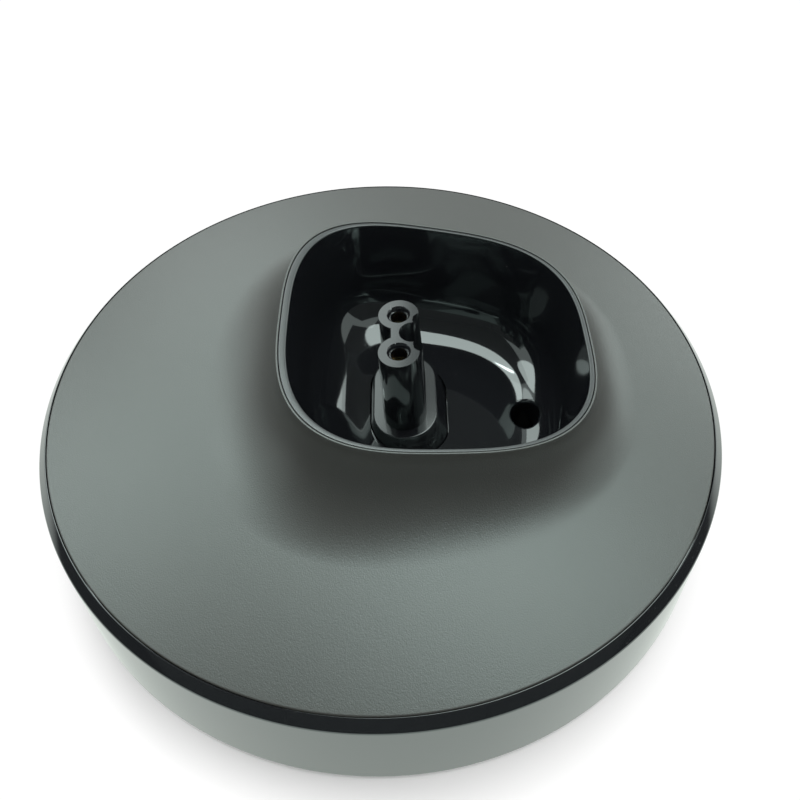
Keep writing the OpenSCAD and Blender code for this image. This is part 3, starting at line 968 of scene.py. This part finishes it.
@dataclass
class Cradle:
    """Gloss cradle with its lip, filleted floor, drain, plug opening, ears and spout."""

    mouth: Mouth
    depth: float = 20.9
    fall: float = 1.6
    fall_from: float = -4.15
    draft: float = 6.0
    fillet: float = 8.5
    floor_square: float = 2.6
    floor_in: float = 0.4
    lip_drop: float = 0.1
    wall: float = 1.6
    drain_r: float = 2.5
    drain_wide: float = 1.16
    drain_fwd: float = 26.0
    drain_edge: float = 0.6
    spout_r: float = 4.1
    spout_z: float = 1.1
    spout_top: float = 21.0
    lip_out_r: float = 0.1
    lip_in_r: float = 0.18
    ear_z: Pair = (16.0, 17.8)
    ear_boss_r: float = 3.1
    ear_hole_r: float = 1.25

    def __post_init__(self) -> None:
        """Works out the fillet's centre, as an inset from the mouth and a depth."""
        draft = radians(self.draft)
        self.deep = self.depth - self.fillet
        self.inset = (tan(draft) * (self.deep + self.fillet * sin(draft))
                      + self.fillet * cos(draft))

    def ring(self, inset: float, deep: float) -> RingPath:
        """Path inside the cradle, whose depth grows towards the front.

        Args:
            inset: Distance inside the mouth.
            deep: Depth below the mouth's plane.

        Returns:
            The path.
        """
        square = mix(self.mouth.square, self.floor_square, max(0.0, min(1.0, inset / self.inset)))
        fall = tan(radians(self.fall)) / self.depth

        def path(turn: float) -> Vector:
            """Point of the ring at a turn.

            Args:
                turn: Turn round the path in radians, 0 at the front.

            Returns:
                The point, in millimetres.
            """
            point = self.mouth.plan(turn, -inset, square)
            point.z = self.mouth.plane(point.y) - deep * (1 - fall * (point.y - self.fall_from))
            return point

        return path

    def face(self, behind: float, steps: int) -> list[RingPath]:
        """Paths of the fillet between wall and floor.

        Args:
            behind: Distance behind the inner face.
            steps: Steps along the fillet.

        Returns:
            The paths, from its top down to the floor.
        """
        radius = self.fillet + behind
        angles = [radians(mix(self.draft, 90, i / steps)) for i in range(steps + 1)]
        return [self.ring(self.inset - radius * cos(a), self.deep + radius * sin(a))
                for a in angles]

    def rings(self) -> list[RingPath]:
        """Paths of the whole section of the cradle.

        Returns:
            The paths, from the outer floor up to the lip and down the inner face to the floor.
        """
        draft = radians(self.draft)
        lip, drop = self.mouth.lip, self.lip_drop
        lip_deep = (self.wall / cos(draft) - lip) / tan(draft)
        out, inner = self.lip_out_r, self.lip_in_r
        paths = [self.ring(self.inset + self.floor_in, self.depth + self.wall)]
        paths += self.face(self.wall, 8)[::-1] + [self.ring(-lip, lip_deep)]
        paths += [self.ring(-lip + out * c, drop + out * s) for c, s in quarter(22.5)]
        paths += [self.ring(-inner * s, drop + inner * c) for c, s in quarter(22.5)]
        top = self.face(0.0, 26)
        start = tan(draft) * (inner + drop)
        high = self.inset - self.fillet * cos(draft)
        low = self.deep + self.fillet * sin(draft)
        steps = 6
        for i in range(1, steps):
            paths.append(self.ring(mix(start, high, i / steps), mix(inner + drop, low, i / steps)))
        paths += top + [self.ring(self.inset + self.floor_in, self.depth)]
        return paths

    def drain_cutter(self, shading: Mesh) -> Object:
        """Makes the drain's cutter, whose mouth follows the cradle's face with a rounded edge.

        Args:
            shading: The uncut cradle.

        Returns:
            The cutter.
        """
        tree = search_tree(shading, MM)

        def level(radius: float, z: float) -> RingPath:
            """Level path round the drain."""
            return lambda turn: Vector((self.drain_wide * radius * sin(turn),
                                        -self.drain_fwd - radius * cos(turn), z))

        def ring(radius: float, sink: float) -> RingPath:
            """Path round the drain, sunk below the cradle's face.

            Args:
                radius: Radius front to back.
                sink: Depth below the face.

            Returns:
                The path.
            """

            def path(turn: float) -> Vector:
                """Point round the drain at a turn.

                Args:
                    turn: Turn round the path in radians, 0 at the front.

                Returns:
                    The point, in millimetres.
                """
                point = level(radius, 30.0)(turn)
                point.z = tree.ray_cast(point, Vector((0, 0, -1)))[0].z - sink
                return point

            return path

        # The bore from below the spout, the rounded mouth, and a lid above the face.
        e = self.drain_edge
        paths = [level(self.drain_r, self.spout_z + z) for z in (-2, 6)]
        paths += [ring(self.drain_r + e * c, e * s) for c, s in quarter(10)[:-1]]
        paths.append(ring(self.drain_r + e * 0.9, -1.5))
        return Form().loft(paths, count=72).finish("drain_cutter", 60)

    def build(self, material: Material, plug: "Plug") -> Object:
        """Builds and seats the cradle.

        Args:
            material: Its finish.
            plug: The plug whose plinth comes through the floor.

        Returns:
            The piece.
        """
        liner = Form().loft(self.rings()).finish("cradle_liner", 50)
        shading = liner.data.copy()
        low, high = self.ear_z
        r = self.ear_boss_r
        (left, _), (_, right) = self.mouth.ears()
        ears = Form().block((left[0], left[1] - r, low), (right[0], right[1] + r, high)).finish("ears")
        half = self.face(self.wall / 2, 8)[::-1] + [self.ring(0.0, 0.0)]
        adds = [peg(self.spout_r, self.spout_z, self.spout_top, (0, -self.drain_fwd))]
        for front, back in self.mouth.ears():
            adds += [peg(r, low, high, spot) for spot in (front, back)]
            side = Form().block((front[0] - r, front[1], low), (back[0] + r, back[1], high))
            adds.append(side.finish("ear_side"))
        adds.append(plug.pad())
        combine(ears, Join.ADD, adds)
        combine(ears, Join.CUT, [Form().loft(half, count=128).finish("hollow")])
        combine(liner, Join.ADD, [ears])
        holes = [self.drain_cutter(shading), plug.floor_cutter()]
        holes += [peg(self.ear_hole_r, low - PAST, high + PAST, spot)
                  for ear in self.mouth.ears() for spot in ear]
        combine(liner, Join.CUT, holes)
        redraw(liner, 50)
        borrow_shading(liner, shading)
        settle(liner, "gloss_shell", material, "cradle_cup")
        return liner


@dataclass
class Plug:
    """Keyed two-barrel post on its plinth, with the flange that holds it from below."""

    fwd: float = 4.15
    top_z: float = 16.9
    lean: float = 3.6
    post_h: float = 15.9
    pitch: float = 8.2
    post_sunk: float = 1.0
    barrel_r: float = 3.3
    draft: float = 1.5
    hole_r: float = 1.6
    rib_r: float = 1.38
    rib_deep: float = 0.7
    rib_t: float = 0.6
    chamfer: float = 0.32
    web_w: float = 1.5
    web_back: float = 0.5
    key_depth: float = 9.0
    key_mid: Pair = (2.15, 2.2)
    key_bite: Triple = (1.5, 3.75, 2.75)
    plinth_r: float = 5.5
    plinth_flat: float = 7.7
    plinth_draft: float = 21.0
    plinth_h: float = 4.6
    pad_depth: float = 6.7
    flange_rim: float = 1.9
    flange_z: float = -8.6
    flange_t: float = 1.4
    lug_x: float = 15.0
    lug_r: float = 3.2
    room: float = 0.15
    edge_r: float = 0.22
    plinth_edge: float = 0.3
    tail_r: float = 2.2
    tail_deep: float = 1.0
    screw_r: float = 1.25

    def foot_r(self) -> float:
        """Radius of the plinth's foot."""
        return self.plinth_r + self.plinth_h * tan(radians(self.plinth_draft))

    def slab(self, low: float, high: float, name: str) -> Object:
        """Slab with the outline of the flange and its lugs, not yet leaning.

        Args:
            low: Height of its bottom above the top of the plinth.
            high: Height of its top.
            name: Name of the mesh.

        Returns:
            The slab.
        """
        radius = self.foot_r() + self.flange_rim
        slab = Form().loft([stadium(radius, self.plinth_flat, z) for z in (low, high)], count=96)
        lugs = Form().loft([stadium(self.lug_r, 2 * self.lug_x, z) for z in (low, high)], count=64)
        return combine(slab.finish(name), Join.ADD, [lugs.finish("lugs")])

    def lean_back(self, obj: Object) -> Object:
        """Moves a finished mesh from the plug's own frame to the stand's.

        Args:
            obj: A mesh whose height 0 is the top of the plinth.

        Returns:
            The same object.
        """
        obj.data.transform(Matrix.Translation((0, -self.fwd * MM, self.top_z * MM))
                           @ Matrix.Rotation(radians(-self.lean), 4, "X"))
        return obj

    def pad(self) -> Object:
        """Pad under the cradle's floor that the flange is screwed to."""
        return self.lean_back(self.slab(-self.pad_depth, 0.0, "pad"))

    def floor_cutter(self) -> Object:
        """Cutter of the opening that the plinth comes through.

        Returns:
            The cutter, in place.
        """
        foot = self.foot_r() + self.room
        paths = [stadium(foot, self.plinth_flat, z) for z in (-self.pad_depth - PAST, -self.plinth_h)]
        paths.append(stadium(self.plinth_r + self.room, self.plinth_flat, 0.0))
        return self.lean_back(Form().loft(paths, count=128).finish("floor_cutter"))

    def post(self) -> Object:
        """Post with its web, flat front flank and key notch, not yet leaning.

        Returns:
            The post.
        """
        half, low, high = self.pitch / 2, -self.post_sunk, self.post_h
        foot = self.barrel_r + (high - low) * tan(radians(self.draft))
        flank = Form().block((-half, -self.barrel_r, low), (half, 0.0, high))
        for vert in flank.bm.verts:
            if vert.co.y < -1 and vert.co.z < 0:
                vert.co.y = -foot
        body, other = (peg(foot, low, high, (s * half, 0), count=96, top_radius=self.barrel_r)
                       for s in (-1, 1))
        web = Form().block((-half, self.web_back - self.web_w / 2, low),
                           (half, self.web_back + self.web_w / 2, high))
        combine(body, Join.ADD, [other, flank.finish("flank"), web.finish("web")])
        low, high = self.post_h - self.key_depth, self.post_h + PAST
        mid_r, mid_fwd = self.key_mid
        bite_r, bite_fwd, bite_x = self.key_bite
        cuts = [peg(mid_r, low, high, (0, -mid_fwd)),
                Form().block((-mid_r, -2 * self.barrel_r, low), (mid_r, -mid_fwd, high)).finish("key")]
        cuts += [peg(bite_r, low, high, (s * bite_x, -bite_fwd)) for s in (-1, 1)]
        combine(body, Join.CUT, cuts)
        return body

    def build(self, material: Material) -> Object:
        """Builds and seats the plug.

        Args:
            material: Its finish.

        Returns:
            The piece.
        """
        body = self.post()
        form = Form()
        form.bm.from_mesh(body.data)
        bpy.data.objects.remove(body)
        bmesh.ops.scale(form.bm, vec=(1 / MM,) * 3, verts=form.bm.verts[:])
        bmesh.ops.dissolve_limit(form.bm, angle_limit=radians(0.5), verts=form.bm.verts[:],
                                 edges=form.bm.edges[:])
        top = self.post_h - 1e-3

        def rim(edge: BMEdge) -> bool:
            """Whether an edge runs round the post's top face."""
            level = all(v.co.z > top for v in edge.verts)
            return level and len(edge.link_faces) == 2 and edge.calc_face_angle(0.0) > 0.5

        form.soften(rim, self.edge_r)
        post = form.finish("plug_post", 30)
        e = self.plinth_edge
        paths = [stadium(self.foot_r(), self.plinth_flat, z)
                 for z in (self.flange_z + 0.5, -self.plinth_h)]
        edge = self.plinth_r + e * tan(radians(self.plinth_draft))
        paths += [stadium(edge - e * c, self.plinth_flat, -e * s) for c, s in quarter(22.5)]
        plinth = Form().loft(paths, count=192).finish("plinth")
        flange = self.slab(self.flange_z, self.flange_z + self.flange_t, "flange")
        combine(post, Join.ADD, [plinth, flange])
        holes = []
        for s in (-1, 1):
            spot = (s * self.pitch / 2, 0)
            end, low, c = self.post_h, self.flange_z, self.chamfer
            top, bottom = end - self.rib_deep, end - self.rib_deep - self.rib_t
            for radius, start, stop in ((self.rib_r, bottom - PAST, top + PAST),
                                        (self.hole_r, top, end + PAST),
                                        (self.hole_r, low - PAST, bottom)):
                holes.append(peg(radius, start, stop, spot, count=72))
            wide = self.hole_r + 2 * c
            holes.append(peg(self.hole_r, end - c, end + c, spot, count=72, top_radius=wide))
            holes.append(peg(self.tail_r, low - PAST, low + self.tail_deep, spot))
            holes.append(peg(self.screw_r, low - PAST, low + self.flange_t + PAST, (s * self.lug_x, 0)))
        combine(post, Join.CUT, holes)
        redraw(post, 30)
        self.lean_back(post)
        settle(post, "plug_plastic", material, "connector_post")
        return post


@dataclass
class SideRing:
    """Gloss side wall with the bevel that frames the cover."""

    base_r: float = 58.499
    shoulder_r: float = 57.5
    shoulder_z: float = 18.5
    lip_r: float = 55.95
    lip_w: float = 0.1
    top_z: float = 20.2
    ledge_z: float = 18.2
    bore_r: float = 55.5
    ledge_r: float = 52.9
    ledge_t: float = 1.6
    step_r: float = 56.35
    step_z: float = 3.3
    low_z: float = 0.8
    inlet_z: float = 9.2
    inlet_r: float = 5.3
    inlet_flat: float = 8.2
    inlet_span: Pair = (40.0, 70.0)
    base_edge: float = 0.6
    shoulder_edge: float = 0.25
    lip_edge: float = 0.08

    def profile(self) -> list[Pair]:
        """Section of the wall.

        Returns:
            Radius and height of each corner, in order.
        """
        return [(self.base_r, self.low_z), (self.shoulder_r, self.shoulder_z),
                (self.lip_r + self.lip_w, self.top_z), (self.lip_r, self.top_z),
                (self.lip_r, self.ledge_z), (self.ledge_r, self.ledge_z),
                (self.ledge_r, self.ledge_z - self.ledge_t),
                (self.bore_r, self.ledge_z - self.ledge_t - (self.bore_r - self.ledge_r)),
                (self.bore_r, self.step_z), (self.step_r, self.step_z), (self.step_r, self.low_z)]

    def build(self, material: Material) -> Object:
        """Builds and seats the ring.

        Args:
            material: Its finish.

        Returns:
            The piece.
        """
        form = Form().spun(self.profile(), steps=288)

        def at(radius: float, z: float) -> EdgeTest:
            """Test for the edges of one corner of the section."""
            return lambda e: all(abs(v.co.xy.length - radius) < 0.02 and abs(v.co.z - z) < 1e-3
                                 for v in e.verts)

        form.soften(at(self.base_r, self.low_z), self.base_edge, 4)
        form.soften(at(self.shoulder_r, self.shoulder_z), self.shoulder_edge, 4)
        form.soften(at(self.lip_r + self.lip_w, self.top_z), self.lip_edge)
        ring = form.finish("side_wall", 50)
        shading = ring.data.copy()
        turn = Matrix.Translation((0, 0, self.inlet_z * MM)) @ Matrix.Rotation(-pi / 2, 4, "X")
        paths = [stadium(self.inlet_r, self.inlet_flat, z) for z in self.inlet_span]
        cutter = Form().loft(paths, count=96).finish("cutter")
        cutter.data.transform(turn)
        combine(ring, Join.CUT, [cutter])
        redraw(ring, 50)
        borrow_shading(ring, shading)
        settle(ring, "gloss_shell", material, "side_ring")
        return ring


# ---- light, floor and camera ----


@dataclass(frozen=True)
class Panel:
    """A flat lamp or dark flag that faces a point, in millimetres."""

    name: str
    at: Triple
    size: Pair
    level: float
    aim: Triple = (0.0, 0.0, 20.0)

    def place(self) -> Matrix:
        """Place and turn of the panel."""
        look = (Vector(self.aim) - Vector(self.at)).to_track_quat("-Z", "Y")
        return Matrix.Translation(self.at) @ look.to_matrix().to_4x4()

    def lamp(self) -> None:
        """Adds it as a soft elliptical lamp. Its level is its brightness, where 1 is white."""
        data = bpy.data.lights.new(self.name, "AREA")
        data.shape = "ELLIPSE"
        data.size, data.size_y = (side * MM for side in self.size)
        data.energy = self.level * pi * data.size * data.size_y * pi / 4
        lamp = bpy.data.objects.new(self.name, data)
        place = self.place()
        place.translation *= MM
        lamp.matrix_world = place
        bpy.context.scene.collection.objects.link(lamp)

    def flag(self) -> None:
        """Adds it as a dark panel that only reflections meet. Its level is its grey."""
        form = Form()
        turn = self.place() @ Matrix.Diagonal((*self.size, 1.0, 1.0))
        bmesh.ops.create_grid(form.bm, x_segments=1, y_segments=1, size=0.5, matrix=turn)
        panel = form.finish(self.name)
        g = Graph(self.name)
        grey = (self.level, self.level, self.level, 1)
        dress(panel, g.end(g.add("ShaderNodeBsdfDiffuse", {}, {"Color": grey})))
        panel.visible_camera = panel.visible_diffuse = panel.visible_shadow = False


LAMPS = (
    Panel("pane_near", (380, 760, 860), (600, 850), 3.1),
    Panel("pane_far", (1000, 420, 820), (640, 960), 2.0),
    Panel("side", (720, -780, 480), (800, 600), 2.1),
    Panel("ceiling", (200, -210, 900), (1050, 620), 3.6),
    Panel("bulb", (330, 20, 880), (260, 45), 16.0),
)
FLAGS = (
    Panel("room", (-1400, 0, 750), (1500, 1500), 0.075, (0, 0, 750)),
    Panel("room_left", (-1000, 1000, 750), (1600, 1500), 0.075, (0, 0, 750)),
    Panel("room_right", (-1000, -1000, 750), (1600, 1500), 0.075, (0, 0, 750)),
    Panel("room_top", (-600, 0, 1300), (2600, 1700), 0.075, (-600, 0, 0)),
    Panel("room_front", (700, -900, 1250), (1500, 1600), 0.075, (700, -900, 0)),
)


@dataclass(frozen=True)
class Studio:
    """Pale floor, sky and the camera at the photograph's viewpoint.

    A pair of reaches in millimetres, such as under, gives a distance from the stand's axis and the
    width of the blend that begins there. Within under the floor takes a painted dark tone, and in
    reflections it turns dark beyond mirrored_floor, a painted reflection. The glows are shares of the
    floor's own light, to the camera in the stand's shadow, whose extent a stretched, shifted ellipse
    paints, what they gain outside it, and to reflections near the stand, where the glow is painted
    light.
    """

    eye: Triple = (-86.755, -3.26, 123.39)
    right: Triple = (-0.00913, -0.99993, -0.00734)
    up: Triple = (0.77918, -0.01172, 0.62669)
    back: Triple = (-0.62673, 0.0, 0.77924)
    lens: float = 35.1
    floor_half: float = 3000.0
    floor_tone: Triple = (0.9, 0.9, 0.8955)
    # Painted shade: the floor's dark tone under the stand, which reflections also see far off.
    painted_dark_tone: Triple = (0.03, 0.03, 0.03)
    # Painted light: tint of the floor's glow as reflections see it.
    glow_tone: Triple = (0.92, 1.0, 0.93)
    shadow_glow: float = 0.04
    open_glow: float = 0.91
    # Painted light: share of the floor's glow that reflections see near the stand.
    mirrored_glow: float = 0.75
    sky: float = 0.92
    mirrored_sky: float = 0.8
    under: Pair = (50.0, 6.25)
    # Painted reflection: reach within which reflections see the floor pale and glowing, and beyond
    # which they see it dark.
    mirrored_floor: Pair = (100.0, 100 / 3)
    # Painted shadow: reach and blend of an ellipse, stretched along Y and shifted along -X, outside
    # which the floor glows white to the camera.
    painted_shadow: Pair = (59.7, 12.5)
    painted_shadow_stretch: float = 1.15
    painted_shadow_shift: float = 5.0

    def floor(self) -> None:
        """Adds the floor, white to the camera but for the stand's shadow, whose extent a mask paints,
        and a painted dark disc under the stand.
        """
        form = Form()
        bmesh.ops.create_grid(form.bm, x_segments=1, y_segments=1, size=self.floor_half)
        plane = form.finish("floor")
        g = Graph("floor_white")
        reach = g.add("ShaderNodeVectorMath", {"operation": "LENGTH"}, {0: g.place()}, "Value")
        # Painted shadow: the stretched, shifted ellipse round the stand that shapes the floor's shadow.
        stretch, shift = (1.0, self.painted_shadow_stretch, 1.0), (self.painted_shadow_shift * MM, 0.0, 0.0)
        wide = g.add("ShaderNodeVectorMath", {"operation": "MULTIPLY_ADD"},
                     {0: g.place(), 1: stretch, 2: shift})
        painted_shadow = g.add("ShaderNodeVectorMath", {"operation": "LENGTH"}, {0: wide}, "Value")
        seen = g.add("ShaderNodeLightPath", out="Is Camera Ray")
        mirrored = g.add("ShaderNodeLightPath", out="Is Glossy Ray")
        outside = reach.rise(*self.under)
        near = 1 - reach.rise(*self.mirrored_floor)
        clear = painted_shadow.rise(*self.painted_shadow)
        # Painted shade and painted reflection: the floor takes the dark tone under the stand, and in
        # reflections also beyond the near reach.
        colour = g.blend(outside * (1 - mirrored * (1 - near)), self.painted_dark_tone, self.floor_tone)
        diffuse = g.add("ShaderNodeBsdfDiffuse", {}, {"Color": colour})
        white = g.blend(mirrored, (1, 1, 1), self.glow_tone)
        glow = g.add("ShaderNodeEmission", {}, {"Color": white})
        # Painted shadow: the camera sees little glow inside the ellipse, so the floor's real shadow
        # shows only there.
        share = seen * (self.shadow_glow + clear * self.open_glow)
        # Painted light: near the stand the floor glows in reflections, brightening the side wall's
        # reflection of the floor.
        share = (share + mirrored * near * self.mirrored_glow) * outside
        dress(plane, g.end(g.add("ShaderNodeMixShader", {}, {0: share, 1: diffuse, 2: glow})))

    def world(self) -> None:
        """Sets a plain sky that is white to the camera."""
        g = Graph("studio", world=True)
        level = self.sky
        for ray, glow in (("Is Glossy Ray", self.mirrored_sky), ("Is Camera Ray", 1.0)):
            hit = g.add("ShaderNodeLightPath", out=ray)
            level = g.add("ShaderNodeMix", {"data_type": "FLOAT"}, {0: hit, 2: level, 3: glow})
        white = {"Color": (1, 1, 1, 1), "Strength": level}
        bpy.context.scene.world = g.end(g.add("ShaderNodeBackground", {}, white))

    def camera(self) -> None:
        """Adds the camera."""
        data = bpy.data.cameras.new("camera")
        data.lens, data.sensor_width = self.lens, 36.0
        data.clip_start, data.clip_end = 0.005, 20.0
        camera = bpy.data.objects.new("camera", data)
        turn = Matrix((self.right, self.up, self.back)).transposed().to_4x4()
        camera.matrix_world = Matrix.Translation(Vector(self.eye) * MM) @ turn
        bpy.context.scene.collection.objects.link(camera)
        bpy.context.scene.camera = camera

    def build(self) -> None:
        """Adds everything that isn't the stand."""
        self.camera()
        self.floor()
        self.world()
        for panel in LAMPS:
            panel.lamp()
        for panel in FLAGS:
            panel.flag()
        bpy.context.scene.view_settings.view_transform = "Standard"


def main() -> None:
    """Builds the stand piece by piece."""
    logging.basicConfig(level=logging.INFO, format="%(name)s: %(message)s")
    Studio().build()
    slots = {entry["node"]: entry["material_slot"] for entry in frame["record"]["subparts"]}
    materials = {finish.name: finish.make() for finish in FINISHES}
    mouth = Mouth()
    plug = Plug()
    Cover(mouth).build(materials["cover_matte"])
    Cradle(mouth).build(materials["gloss_shell"], plug)
    plug.build(materials["plug_plastic"])
    SideRing().build(materials["gloss_shell"])
    for name, node in frame["nodes"].items():
        dress(node, materials[slots[name]])
        log.info("%s: CAD node, %s", name, slots[name])


if __name__ == "__main__":
    main()
